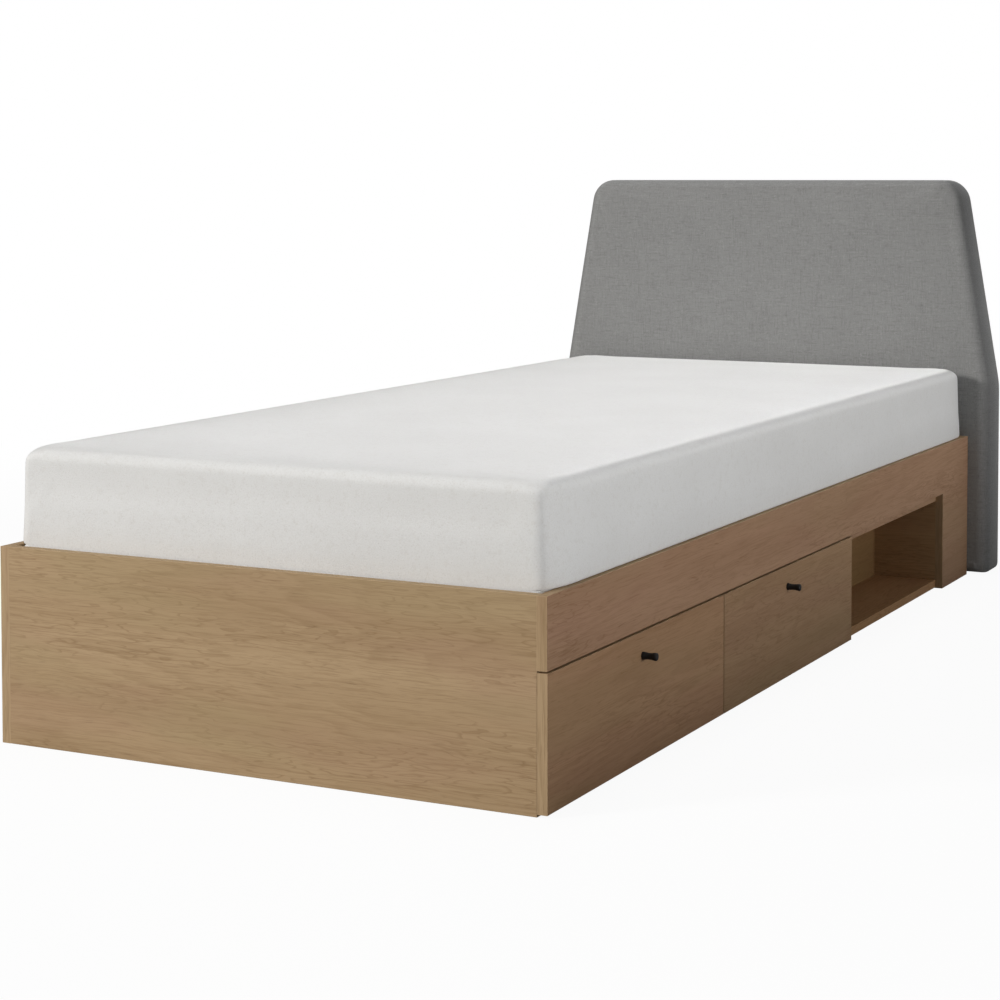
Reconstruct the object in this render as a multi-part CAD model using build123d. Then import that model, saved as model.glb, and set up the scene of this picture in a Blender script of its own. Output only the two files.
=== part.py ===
from build123d import *
import os

os.makedirs("parts", exist_ok=True)

# Single storage bed. Lengths are in millimetres.
# X points to the drawer side, Y to the headboard, Z up.
# The origin lies on the floor under the middle of the whole bed.

# Mattress, a standard single size
mattress_width = 900.0
mattress_length = 2000.0
mattress_thickness = 200.0
mattress_side_gap = 2.0
mattress_end_gap = 16.0

# Frame of laminated boards round the mattress
frame_height = 304.0
board = 16.0
edge_round = 0.8
fit_gap = 0.3
rail_height = 103.0
pillar_width = 188.0

# Drawers and niche along the drawer side
front_gap = 3.0
front_floor_gap = 4.0
front_length = 637.0
front_proud = 0.5
drawer_count = 2
niche_depth = 150.0
niche_floor_gap = 1.0

# Drawer boxes, as deep as their slides are long
drawer_rear_gap = 20.0
drawer_side_floor_gap = 26.0
drawer_side_top_gap = 32.0
drawer_board = 12.0
drawer_bottom_thickness = 3.0
groove_depth = 5.0
groove_height = 3.4
groove_up = 10.0

# Ball-bearing slides: each has a cabinet, a middle and a drawer member and two ball cages
slide_space = 13.0
slide_length = 500.0
slide_setback = 2.0
slide_overlap = 20.0
slide_sheet = 1.2
outer_height = 45.6
outer_depth = 9.5
middle_height = 36.4
middle_depth = 7.6
middle_start = 2.2
middle_front_setback = 30.0
middle_rear_setback = 20.0
inner_height = 27.2
inner_depth = 8.1
lip_height = 1.8
cage_length_share = 0.34
cage_gap = 0.25
cage_web = 0.5

# Drawer knobs
knob_length = 24.0
knob_diameter = 12.0
knob_waist_diameter = 8.4
knob_head_length = 7.0
knob_base_length = 5.0
knob_down = 36.0
knob_1_shift = 3.0
knob_2_shift = 27.0
knob_screw_diameter = 4.0
knob_screw_head_diameter = 9.0
knob_screw_head_height = 2.4
knob_screw_grip = 9.0
bore_clearance = 0.2

# Slatted base
slat_drop = 50.0
slat_thickness = 18.0
slat_width = 70.0
slat_chamfer = 2.0
slat_count = 13
slat_end_gap = 4.0
slat_margin = 30.0
strap_width = 25.0
strap_thickness = 1.2
strap_offset = 330.0
ledge_depth = 20.0
ledge_height = 30.0
ledge_round = 2.0

# Mattress above the boards: the soft sides swell out over the board edges
mattress_swell = 7.5
mattress_corner_radius = 27.0
mattress_top_radius = 24.0
mattress_overlap = 10.0
mattress_crown = 4.0
soft_gap = 0.3

# Upholstered headboard
headboard_width = 1028.0
headboard_top_width = 878.0
headboard_height = 864.0
headboard_kink_height = 414.0
headboard_depth = 90.0
headboard_floor_gap = 3.0
headboard_corner_radius = 54.0
headboard_kink_radius = 90.0
headboard_foot_radius = 30.0
headboard_front_radius = 26.0
headboard_joint_gap = 0.3
core_thickness = 18.0
core_inset = 4.0

# Fasteners
cam_diameter = 15.0
cam_height = 12.5
cam_reach = 24.0
cam_bolt_diameter = 6.0
cam_bolt_depth = 11.0
cam_height_share = 0.55
dowel_diameter = 8.0
dowel_length = 30.0
dowel_depth = 11.0
headboard_bolt_diameter = 8.0
headboard_bolt_head_diameter = 24.0
headboard_bolt_head_height = 4.0
headboard_bolt_hole_diameter = 9.0
headboard_pad_hole_diameter = 14.0
headboard_bolt_x = 260.0
headboard_bolt_height_share = 0.55
headboard_nut_diameter = 12.0
headboard_nut_length = 14.0

# Planes of the frame
frame_width = mattress_width + 2 * (mattress_side_gap + board)
frame_length = mattress_length + 2 * (mattress_end_gap + board)
right_face = frame_width / 2
left_face = -right_face
right_inner = right_face - board
left_inner = left_face + board
bed_length = frame_length + headboard_joint_gap + headboard_depth
foot_face = -bed_length / 2
foot_inner = foot_face + board
head_face = foot_face + frame_length
head_inner = head_face - board
rail_bottom = frame_height - rail_height
rail_mid = frame_height - rail_height / 2
front_top = rail_bottom - front_gap
middle_right = right_inner - slide_length - drawer_rear_gap
middle_left = middle_right - board
slat_level = frame_height - slat_drop
support_height = slat_level - slat_thickness
ledge_bottom = support_height - ledge_height
pillar_edge = head_face - pillar_width
fronts_end = foot_face + drawer_count * front_length + (drawer_count - 1) * front_gap
divider_centre = foot_face + front_length + front_gap / 2
niche_back_face = right_face - niche_depth
niche_bottom_top = niche_floor_gap + board
niche_top_bottom = rail_bottom - board
cross_panel_shares = (1 / 3, 2 / 3)


def block(x_low, x_high, y_low, y_high, z_low, z_high):
    """A box between two corners."""
    size = (x_high - x_low, y_high - y_low, z_high - z_low)
    centre = ((x_low + x_high) / 2, (y_low + y_high) / 2, (z_low + z_high) / 2)
    return Pos(*centre) * Box(*size)


def rod(start, direction, diameter, length):
    """A cylinder from a point along a direction."""
    plane = Plane(origin=start, z_dir=direction)
    return Solid.make_cylinder(diameter / 2, length, plane)


def save(name, *solids):
    """Write one node, which holds one solid or a group of separate ones."""
    shape = solids[0] if len(solids) == 1 else Compound(children=list(solids))
    shape.label = name
    export_step(shape, f"parts/{name}.step")


# Boards of the frame

foot_board = block(left_inner, right_inner, foot_face, foot_inner, 0, frame_height)
left_board = block(left_face, left_inner, foot_face, head_face, 0, frame_height)
right_board = block(right_inner, right_face, foot_face, head_face, 0, frame_height)
right_board -= block(right_inner, right_face, foot_face, pillar_edge, 0, rail_bottom)
boards = {
    "foot_panel": fillet(foot_board.edges().filter_by(Axis.X), edge_round),
    "head_panel": block(left_inner, right_inner, head_inner, head_face, 0, frame_height),
    "left_side_panel": fillet(left_board.faces().sort_by(Axis.X)[0].edges(), edge_round),
    "middle_panel": block(middle_left, middle_right, foot_inner, head_inner, 0, support_height),
    "right_side_panel": fillet(right_board.faces().sort_by(Axis.X)[-1].edges(), edge_round),
}

divider_places = {
    "drawer_divider": divider_centre - board / 2,
    "niche_left_divider": fronts_end - board,
    "niche_right_divider": pillar_edge,
}
for name, y_low in divider_places.items():
    divider = block(middle_right, right_inner, y_low, y_low + board, 0, support_height)
    notch_low = right_inner - ledge_depth - fit_gap
    divider -= block(notch_low, right_inner, y_low, y_low + board, ledge_bottom, support_height)
    boards[name] = divider

cross_panel_places = {}
for number, share in enumerate(cross_panel_shares, start=1):
    y_low = foot_inner + share * (head_inner - foot_inner) - board / 2
    cross_panel_places[f"cross_panel_{number}"] = y_low
for name, y_low in cross_panel_places.items():
    panel = block(left_inner, middle_left, y_low, y_low + board, 0, support_height)
    notch_high = left_inner + ledge_depth + fit_gap
    panel -= block(left_inner, notch_high, y_low, y_low + board, ledge_bottom, support_height)
    boards[name] = panel

niche_y_low = fronts_end
niche_y_high = pillar_edge
boards["niche_back"] = block(
    niche_back_face - board, niche_back_face, niche_y_low, niche_y_high, niche_floor_gap, rail_bottom
)
boards["niche_bottom"] = block(
    niche_back_face, right_inner, niche_y_low, niche_y_high, niche_floor_gap, niche_bottom_top
)
boards["niche_top"] = block(
    niche_back_face, right_inner, niche_y_low, niche_y_high, niche_top_bottom, rail_bottom
)


# Cam fittings and dowels: both stand in the face of one board and the end of the next

cams = []
cam_bolts = []
dowels = []
LEFT, RIGHT = (-1, 0, 0), (1, 0, 0)
FOOT, HEAD = (0, -1, 0), (0, 1, 0)


def drill(name, start, direction, diameter, depth):
    """Bore a board, with clearance round what goes in and past its tip."""
    bore = diameter + 2 * bore_clearance
    boards[name] -= rod(start, direction, bore, depth + bore_clearance)


def join_with_cam(butting, receiving, point, toward, cam_side):
    """A cam in the butting board pulls a bolt that stands in the receiving one."""
    point, toward, cam_side = Vector(*point), Vector(*toward), Vector(*cam_side)
    face_point = point - toward * cam_reach + cam_side * (board / 2)
    shank = cam_reach - cam_diameter / 2 - bore_clearance
    drill(butting, face_point, -cam_side, cam_diameter, cam_height)
    drill(butting, point, -toward, cam_bolt_diameter, shank)
    drill(receiving, point, toward, cam_bolt_diameter, cam_bolt_depth)
    cams.append(rod(face_point, -cam_side, cam_diameter, cam_height))
    cam_bolts.append(rod(point - toward * shank, toward, cam_bolt_diameter, shank + cam_bolt_depth))


def join_with_dowel(butting, receiving, point, toward):
    """A dowel stands in both boards."""
    point, toward = Vector(*point), Vector(*toward)
    shank = dowel_length - dowel_depth
    drill(butting, point, -toward, dowel_diameter, shank)
    drill(receiving, point, toward, dowel_diameter, dowel_depth)
    dowels.append(rod(point - toward * shank, toward, dowel_diameter, dowel_length))


foot_mid = foot_face + board / 2
head_mid = head_face - board / 2
middle_mid = (middle_left + middle_right) / 2
half_support = support_height / 2
cam_level = frame_height * cam_height_share

join_with_cam("foot_panel", "left_side_panel", (left_inner, foot_mid, cam_level), LEFT, HEAD)
join_with_cam("foot_panel", "right_side_panel", (right_inner, foot_mid, rail_mid), RIGHT, HEAD)
join_with_cam("head_panel", "left_side_panel", (left_inner, head_mid, cam_level), LEFT, FOOT)
join_with_cam("head_panel", "right_side_panel", (right_inner, head_mid, cam_level), RIGHT, FOOT)
join_with_cam("middle_panel", "foot_panel", (middle_mid, foot_inner, half_support), FOOT, LEFT)
join_with_cam("middle_panel", "head_panel", (middle_mid, head_inner, half_support), HEAD, LEFT)
for name, y_low in divider_places.items():
    join_with_dowel(name, "middle_panel", (middle_right, y_low + board / 2, half_support), LEFT)
niche_end = (right_inner, pillar_edge + board / 2, half_support)
join_with_dowel("niche_right_divider", "right_side_panel", niche_end, RIGHT)
for name, y_low in cross_panel_places.items():
    join_with_dowel(name, "left_side_panel", (left_inner, y_low + board / 2, half_support), LEFT)


# Ledges and slats

ledges = {
    "ledge_left": block(
        left_inner, left_inner + ledge_depth, foot_inner, head_inner, ledge_bottom, support_height
    ),
    "ledge_right": block(
        right_inner - ledge_depth, right_inner, foot_inner, head_inner, ledge_bottom, support_height
    ),
}
for name, ledge in ledges.items():
    lower_edges = ledge.edges().filter_by(Axis.Y).sort_by(Axis.Z)[:2]
    save(name, fillet(lower_edges, ledge_round))

slat_length = right_inner - left_inner - 2 * slat_end_gap
slat_first = foot_inner + slat_margin + slat_width / 2
slat_last = head_inner - slat_margin - slat_width / 2
slat_pitch = (slat_last - slat_first) / (slat_count - 1)
slats = []
for number in range(slat_count):
    y_mid = slat_first + number * slat_pitch
    slat = Pos(0, y_mid, slat_level - slat_thickness / 2) * Box(slat_length, slat_width, slat_thickness)
    slats.append(chamfer(slat.edges().filter_by(Axis.X), slat_chamfer))
save("slats", *slats)

straps = []
for x_mid in (-strap_offset, strap_offset):
    x_low, x_high = x_mid - strap_width / 2, x_mid + strap_width / 2
    y_low, y_high = slat_first - slat_width / 2, slat_last + slat_width / 2
    straps.append(block(x_low, x_high, y_low, y_high, slat_level, slat_level + strap_thickness))
save("slat_straps", *straps)


# Mattress

mattress_bottom = slat_level + strap_thickness + soft_gap
mattress_top = mattress_bottom + mattress_thickness
mattress_mid = (foot_inner + head_inner) / 2


def mattress_body():
    """Foam block held between the boards, with a swollen and crowned part above them."""
    shoulder = frame_height + soft_gap
    held_outline = RectangleRounded(mattress_width, mattress_length, mattress_corner_radius)
    held_height = shoulder + mattress_overlap - mattress_bottom
    held = Pos(0, mattress_mid, mattress_bottom) * extrude(held_outline, amount=held_height)
    half_width = mattress_width / 2 + mattress_swell
    side_top = mattress_top - mattress_crown
    low_left, low_right = (-half_width, shoulder), (half_width, shoulder)
    high_left, high_right = (-half_width, side_top), (half_width, side_top)
    sides = Polyline(high_left, low_left, low_right, high_right)
    crown = ThreePointArc(high_right, (0, mattress_top), high_left)
    section = Plane.XZ * make_face([*sides.edges(), *crown.edges()])
    swollen_length = mattress_length + 2 * mattress_swell
    swollen = extrude(section, amount=swollen_length / 2, both=True)
    swollen = fillet(swollen.edges().filter_by(Axis.Z), mattress_corner_radius + mattress_swell)
    swollen = fillet(swollen.faces().sort_by(Axis.Z)[-1].edges(), mattress_top_radius)
    return held + Pos(0, mattress_mid, 0) * swollen


save("mattress", mattress_body())


# Headboard

pad_front = head_face + headboard_joint_gap
pad_back = pad_front + headboard_depth


def headboard_outline(inset):
    """Front view of the headboard: upright sides that lean in above the mattress."""
    half_foot = headboard_width / 2 - inset
    half_top = headboard_top_width / 2 - inset
    low = headboard_floor_gap + inset
    high = headboard_height - inset
    kink = headboard_kink_height
    corners = Polyline(
        (-half_foot, low),
        (half_foot, low),
        (half_foot, kink),
        (half_top, high),
        (-half_top, high),
        (-half_foot, kink),
        close=True,
    )
    outline = make_face(corners)
    outline = fillet(outline.vertices().group_by(Axis.Y)[1], headboard_kink_radius)
    outline = fillet(outline.vertices().group_by(Axis.Y)[-1], headboard_corner_radius - inset)
    outline = fillet(outline.vertices().group_by(Axis.Y)[0], headboard_foot_radius - inset)
    return Plane.XZ * outline


def headboard_slab(inset, y_low, y_high):
    """The outline as a slab between two planes across the bed."""
    slab = extrude(headboard_outline(inset), amount=y_low - y_high)
    return Pos(0, y_low, 0) * slab


core_front = pad_back - core_thickness
pad = headboard_slab(0, pad_front, core_front - soft_gap)
pad = fillet(pad.faces().sort_by(Axis.Y)[0].edges(), headboard_front_radius)
core = headboard_slab(core_inset, core_front, pad_back)

toward = Vector(*HEAD)
nut_bore = headboard_nut_diameter + 2 * bore_clearance
bolt_shank = core_front + headboard_nut_length - head_inner
headboard_bolts = []
headboard_nuts = []
for x in (-headboard_bolt_x, headboard_bolt_x):
    bolt_start = Vector(x, head_inner, frame_height * headboard_bolt_height_share)
    pad_start = Vector(x, pad_front, bolt_start.Z)
    nut_start = Vector(x, core_front, bolt_start.Z)
    head_start = bolt_start - toward * headboard_bolt_head_height
    boards["head_panel"] -= rod(bolt_start, toward, headboard_bolt_hole_diameter, board)
    pad -= rod(pad_start, toward, headboard_pad_hole_diameter, headboard_depth)
    core -= rod(nut_start, toward, nut_bore, headboard_nut_length)
    nut = rod(nut_start, toward, headboard_nut_diameter, headboard_nut_length)
    headboard_nuts.append(nut - rod(nut_start, toward, headboard_bolt_hole_diameter, headboard_nut_length))
    bolt = rod(head_start, toward, headboard_bolt_head_diameter, headboard_bolt_head_height)
    headboard_bolts.append(bolt + rod(bolt_start, toward, headboard_bolt_diameter, bolt_shank))

save("headboard_padding", pad)
save("headboard_core", core)
save("headboard_bolts", *headboard_bolts)
save("headboard_nuts", *headboard_nuts)


# Drawers

drawer_side_top = front_top - drawer_side_top_gap
slide_level = (drawer_side_floor_gap + drawer_side_top) / 2
drawer_travel = slide_length - slide_overlap
middle_length = slide_length - middle_front_setback - middle_rear_setback
cage_length = slide_length * cage_length_share
middle_travel_share = 0.5
outer_cage_travel_share = 0.25
inner_cage_travel_share = 0.75


def slide_section(web_start, height, depth, toward_drawer):
    """C section of one slide member, drawn with its thickness along Y and its height along Z."""
    half = height / 2
    web = slide_sheet
    sign = 1 if toward_drawer else -1
    far = web_start + sign * depth
    tip = far - sign * web
    inner = half - web
    lip_end = inner - lip_height
    back = web_start + sign * web
    return [
        (web_start, -half),
        (far, -half),
        (far, -lip_end),
        (tip, -lip_end),
        (tip, -inner),
        (back, -inner),
        (back, inner),
        (tip, inner),
        (tip, lip_end),
        (far, lip_end),
        (far, half),
        (web_start, half),
    ]


def cage_section(member_start, member_depth, inner_height, outer_height):
    """Ball cage inside a member: a thin web with a track strip above and below it."""
    inner_half = inner_height / 2 + cage_gap
    outer_half = outer_height / 2 - cage_gap
    web_start = member_start + slide_sheet + cage_gap
    web = web_start + cage_web
    far = member_start + member_depth - slide_sheet - cage_gap
    return [
        (web_start, -outer_half),
        (far, -outer_half),
        (far, -inner_half),
        (web, -inner_half),
        (web, inner_half),
        (far, inner_half),
        (far, outer_half),
        (web_start, outer_half),
    ]


def slide_bar(points, x_high, length, wall, sign):
    """Run a section along X. The wall is where the slide is fixed, sign points to the drawer."""
    corners = [(wall + sign * across, slide_level + up) for across, up in points]
    section = Plane.YZ * make_face(Polyline(*corners, close=True))
    return Pos(x_high - length, 0, 0) * extrude(section, amount=length)


def slide_members(wall, sign):
    """The five pieces of one slide, from the fixed wall to the drawer side."""
    front = right_inner - slide_setback
    middle_front = front - middle_front_setback
    outer_points = slide_section(0, outer_height, outer_depth, True)
    outer = slide_bar(outer_points, front, slide_length, wall, sign)
    middle_points = slide_section(middle_start, middle_height, middle_depth, True)
    middle = slide_bar(middle_points, middle_front, middle_length, wall, sign)
    inner_points = slide_section(slide_space, inner_height, inner_depth, False)
    inner = slide_bar(inner_points, front, slide_length, wall, sign)
    # Each cage lies at rest so that, fully open, it is in the middle of the stretch that its members share
    middle_front_open = middle_front + drawer_travel * middle_travel_share
    middle_back_open = middle_front_open - middle_length
    inner_back_open = front - slide_length + drawer_travel
    outer_centre = (front + middle_back_open) / 2 - drawer_travel * outer_cage_travel_share
    inner_centre = (middle_front_open + inner_back_open) / 2 - drawer_travel * inner_cage_travel_share
    middle_inner_height = middle_height - 2 * slide_sheet
    outer_inner_height = outer_height - 2 * slide_sheet
    outer_cage_points = cage_section(0, outer_depth, middle_height, outer_inner_height)
    inner_cage_points = cage_section(middle_start, middle_depth, inner_height, middle_inner_height)
    outer_cage = slide_bar(outer_cage_points, outer_centre + cage_length / 2, cage_length, wall, sign)
    inner_cage = slide_bar(inner_cage_points, inner_centre + cage_length / 2, cage_length, wall, sign)
    return outer, middle, inner, outer_cage, inner_cage


def knob():
    """Spool-shaped knob along X, standing on the drawer front: base, waist and head."""
    origin, outward = Vector(0, 0, 0), Vector(*RIGHT)
    head_start = outward * (knob_length - knob_head_length)
    spool = rod(origin, outward, knob_diameter, knob_base_length)
    spool += rod(origin, outward, knob_waist_diameter, knob_length - knob_head_length)
    spool += rod(head_start, outward, knob_diameter, knob_head_length)
    thread = knob_screw_diameter + 2 * bore_clearance
    return spool - rod(origin, outward, thread, knob_screw_grip + bore_clearance)


def build_drawer(number, wall_low, wall_high, y_low, y_high, knob_shift):
    """One drawer between two walls, with a front that spans from y_low to y_high.

    Its knob sits knob_shift off the middle of the front, towards the foot.
    """
    name = f"drawer_{number}"
    back_face = right_inner + front_proud
    front = block(back_face, right_face + front_proud, y_low, y_high, front_floor_gap, front_top)
    front = fillet(front.faces().sort_by(Axis.X)[-1].edges(), edge_round)
    side_low = wall_low + slide_space
    side_high = wall_high - slide_space
    bottom_z, top_z = drawer_side_floor_gap, drawer_side_top
    rear = back_face - slide_length
    floor_z = bottom_z + groove_up
    groove_top = floor_z + groove_height
    inner_low, inner_high = side_low + drawer_board, side_high - drawer_board
    side_foot = block(rear, back_face, side_low, inner_low, bottom_z, top_z)
    side_head = block(rear, back_face, inner_high, side_high, bottom_z, top_z)
    back = block(rear, rear + drawer_board, inner_low, inner_high, bottom_z, top_z)
    groove = block(
        rear + drawer_board - groove_depth,
        back_face + groove_depth,
        inner_low - groove_depth,
        inner_high + groove_depth,
        floor_z,
        groove_top,
    )
    margin = fit_gap
    bottom = block(
        rear + drawer_board - groove_depth + margin,
        back_face + groove_depth - margin,
        inner_low - groove_depth + margin,
        inner_high + groove_depth - margin,
        floor_z,
        floor_z + drawer_bottom_thickness,
    )
    knob_y, knob_z = (y_low + y_high) / 2 - knob_shift, front_top - knob_down
    screw_hole = knob_screw_diameter + 2 * bore_clearance
    front -= rod(Vector(back_face, knob_y, knob_z), Vector(*RIGHT), screw_hole, board)
    front -= groove
    save(f"{name}_front", front)
    save(f"{name}_side_foot", side_foot - groove)
    save(f"{name}_side_head", side_head - groove)
    save(f"{name}_back", back - groove)
    save(f"{name}_bottom", bottom)
    save(f"{name}_knob", Pos(right_face + front_proud, knob_y, knob_z) * knob())
    head_start = Vector(back_face - knob_screw_head_height, knob_y, knob_z)
    screw = rod(head_start, Vector(*RIGHT), knob_screw_head_diameter, knob_screw_head_height)
    shank = board + knob_screw_grip
    screw += rod(Vector(back_face, knob_y, knob_z), Vector(*RIGHT), knob_screw_diameter, shank)
    save(f"{name}_knob_screw", screw)
    pairs = zip(slide_members(wall_low, 1), slide_members(wall_high, -1))
    roles = ("slide_outer", "slide_middle", "slide_inner", "outer_cages", "inner_cages")
    for role, (foot_piece, head_piece) in zip(roles, pairs):
        if role.endswith("cages"):
            save(f"{name}_{role}", foot_piece, head_piece)
        else:
            save(f"{name}_{role}_foot", foot_piece)
            save(f"{name}_{role}_head", head_piece)


build_drawer(
    1,
    foot_inner,
    divider_centre - board / 2,
    foot_face,
    foot_face + front_length,
    knob_1_shift,
)
build_drawer(
    2,
    divider_centre + board / 2,
    fronts_end - board,
    foot_face + front_length + front_gap,
    fronts_end,
    knob_2_shift,
)

for name, panel in boards.items():
    save(name, panel)
save("cams", *cams)
save("cam_bolts", *cam_bolts)
save("dowels", *dowels)
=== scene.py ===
import math
import random

import bmesh
import bpy
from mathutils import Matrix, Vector, noise


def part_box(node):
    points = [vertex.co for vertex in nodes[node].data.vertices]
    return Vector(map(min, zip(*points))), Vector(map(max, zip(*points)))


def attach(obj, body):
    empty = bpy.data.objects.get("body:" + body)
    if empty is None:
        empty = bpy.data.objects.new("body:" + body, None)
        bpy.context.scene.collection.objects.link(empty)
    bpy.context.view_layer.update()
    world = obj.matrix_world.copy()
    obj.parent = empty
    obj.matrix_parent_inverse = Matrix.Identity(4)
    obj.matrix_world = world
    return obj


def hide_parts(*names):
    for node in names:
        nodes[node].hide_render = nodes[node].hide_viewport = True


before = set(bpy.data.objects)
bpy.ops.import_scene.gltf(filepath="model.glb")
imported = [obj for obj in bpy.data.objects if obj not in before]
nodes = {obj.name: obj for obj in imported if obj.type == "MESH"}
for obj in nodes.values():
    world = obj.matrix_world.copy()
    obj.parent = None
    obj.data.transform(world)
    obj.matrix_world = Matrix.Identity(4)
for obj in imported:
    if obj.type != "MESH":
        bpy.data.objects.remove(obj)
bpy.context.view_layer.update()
MM = 0.001


# ---------------------------------------------------------------- node trees
class Net:
    """One material's node tree. Every call adds a node and returns its output socket."""

    def __init__(self, name):
        self.material = bpy.data.materials.new(name)
        self.material.use_nodes = True
        self.tree = self.material.node_tree
        self.tree.nodes.clear()
        self.place = self.node("ShaderNodeTexCoord")

    def node(self, kind, **settings):
        made = self.tree.nodes.new(kind)
        for key, value in settings.items():
            setattr(made, key, value)
        return made

    def put(self, target, value):
        if isinstance(value, bpy.types.NodeSocket):
            self.tree.links.new(value, target)
        elif value is not None:
            target.default_value = value

    def math(self, operation, a, b=None, c=None, clamp=False):
        made = self.node("ShaderNodeMath", operation=operation, use_clamp=clamp)
        for target, value in zip(made.inputs, (a, b, c)):
            self.put(target, value)
        return made.outputs[0]

    def vector(self, operation, a, b=None):
        made = self.node("ShaderNodeVectorMath", operation=operation)
        self.put(made.inputs[0], a)
        self.put(made.inputs[1], b)
        return made.outputs["Value" if operation == "LENGTH" else "Vector"]

    def split(self, vector):
        made = self.node("ShaderNodeSeparateXYZ")
        self.put(made.inputs[0], vector)
        return made.outputs[0], made.outputs[1], made.outputs[2]

    def join(self, x, y, z):
        made = self.node("ShaderNodeCombineXYZ")
        for target, value in zip(made.inputs, (x, y, z)):
            self.put(target, value)
        return made.outputs[0]

    def noise(self, vector, stretch, detail=2.0, rough=0.5, warp=0.0, color=False):
        """Noise with so many waves per metre along each axis."""
        moved = self.vector("MULTIPLY", vector, stretch)
        made = self.node("ShaderNodeTexNoise")
        self.put(made.inputs["Vector"], moved)
        made.inputs["Scale"].default_value = 1.0
        made.inputs["Detail"].default_value = detail
        made.inputs["Roughness"].default_value = rough
        made.inputs["Distortion"].default_value = warp
        return made.outputs["Color"] if color else made.outputs["Fac"]

    def cells(self, vector, stretch):
        """Distance from the nearest of scattered points, and that point's random colour."""
        moved = self.vector("MULTIPLY", vector, stretch)
        made = self.node("ShaderNodeTexVoronoi", feature="F1")
        self.put(made.inputs["Vector"], moved)
        made.inputs["Scale"].default_value = 1.0
        return made.outputs["Distance"], made.outputs["Color"]

    def span(self, value, low, high, to_low=0.0, to_high=1.0, smooth=True):
        """The value's way from low to high, mapped onto 0 to 1 or another range."""
        made = self.node("ShaderNodeMapRange", interpolation_type="SMOOTHSTEP" if smooth else "LINEAR")
        for target, number in zip(made.inputs, (value, low, high, to_low, to_high)):
            self.put(target, number)
        return made.outputs[0]

    def mix(self, factor, a, b, kind="MIX"):
        made = self.node("ShaderNodeMix", data_type="RGBA", blend_type=kind)
        self.put(made.inputs[0], factor)
        self.put(made.inputs[6], (*a, 1) if isinstance(a, tuple) else a)
        self.put(made.inputs[7], (*b, 1) if isinstance(b, tuple) else b)
        return made.outputs[2]

    def layer(self, color, value, low, high, share, tone):
        """Lay a tone over the colour: none of it at low, the given share of it at high."""
        return self.mix(self.math("MULTIPLY", self.span(value, low, high), share), color, tone)

    def choose(self, factor, a, b):
        made = self.node("ShaderNodeMix", data_type="VECTOR")
        self.put(made.inputs[0], factor)
        self.put(made.inputs[4], a)
        self.put(made.inputs[5], b)
        return made.outputs[1]

    def bump(self, height, depth, strength, normal=None):
        made = self.node("ShaderNodeBump")
        made.inputs["Strength"].default_value = strength
        made.inputs["Distance"].default_value = depth
        self.put(made.inputs["Height"], height)
        self.put(made.inputs["Normal"], normal)
        return made.outputs[0]

    def surface(self, color, rough, normal, **fixed):
        shader = self.node("ShaderNodeBsdfPrincipled")
        self.put(shader.inputs["Base Color"], color)
        self.put(shader.inputs["Roughness"], rough)
        self.put(shader.inputs["Normal"], normal)
        for key, value in fixed.items():
            shader.inputs[key.replace("_", " ")].default_value = value
        out = self.node("ShaderNodeOutputMaterial")
        self.tree.links.new(shader.outputs[0], out.inputs[0])
        return self.material


# ---------------------------------------------------------------- wood
OAK = {
    "light": (0.510, 0.358, 0.208),
    "base": (0.440, 0.300, 0.168),
    "dark": (0.310, 0.196, 0.098),
    "fleck": (0.150, 0.086, 0.038),
    "warm": (0.425, 0.258, 0.165),
    "sallow": (0.435, 0.328, 0.176),
    "ring": 0.36,
    "fibre": 0.34,
    "pore": 0.26,
    "rough": 0.56,
}
DRAWER_OAK = dict(OAK, ring=0.20, fibre=0.40, pore=0.35, rough=0.50)
BEECH = {
    "light": (0.66, 0.47, 0.30),
    "base": (0.58, 0.39, 0.235),
    "dark": (0.46, 0.28, 0.155),
    "fleck": (0.36, 0.19, 0.09),
    "warm": (0.60, 0.36, 0.22),
    "sallow": (0.62, 0.45, 0.26),
    "ring": 0.25,
    "fibre": 0.35,
    "pore": 0.55,
    "rough": 0.55,
}


# a face looks along an axis where its normal's part along it is greater than this
LOOKS_ALONG = 0.6
RING_LINES, ARCH_LINES = 24.0, 7.0
TAPE_LINE_IN, LINE_SPAN = 1.1 * MM, (0.3 * MM, 0.1 * MM)


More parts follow.
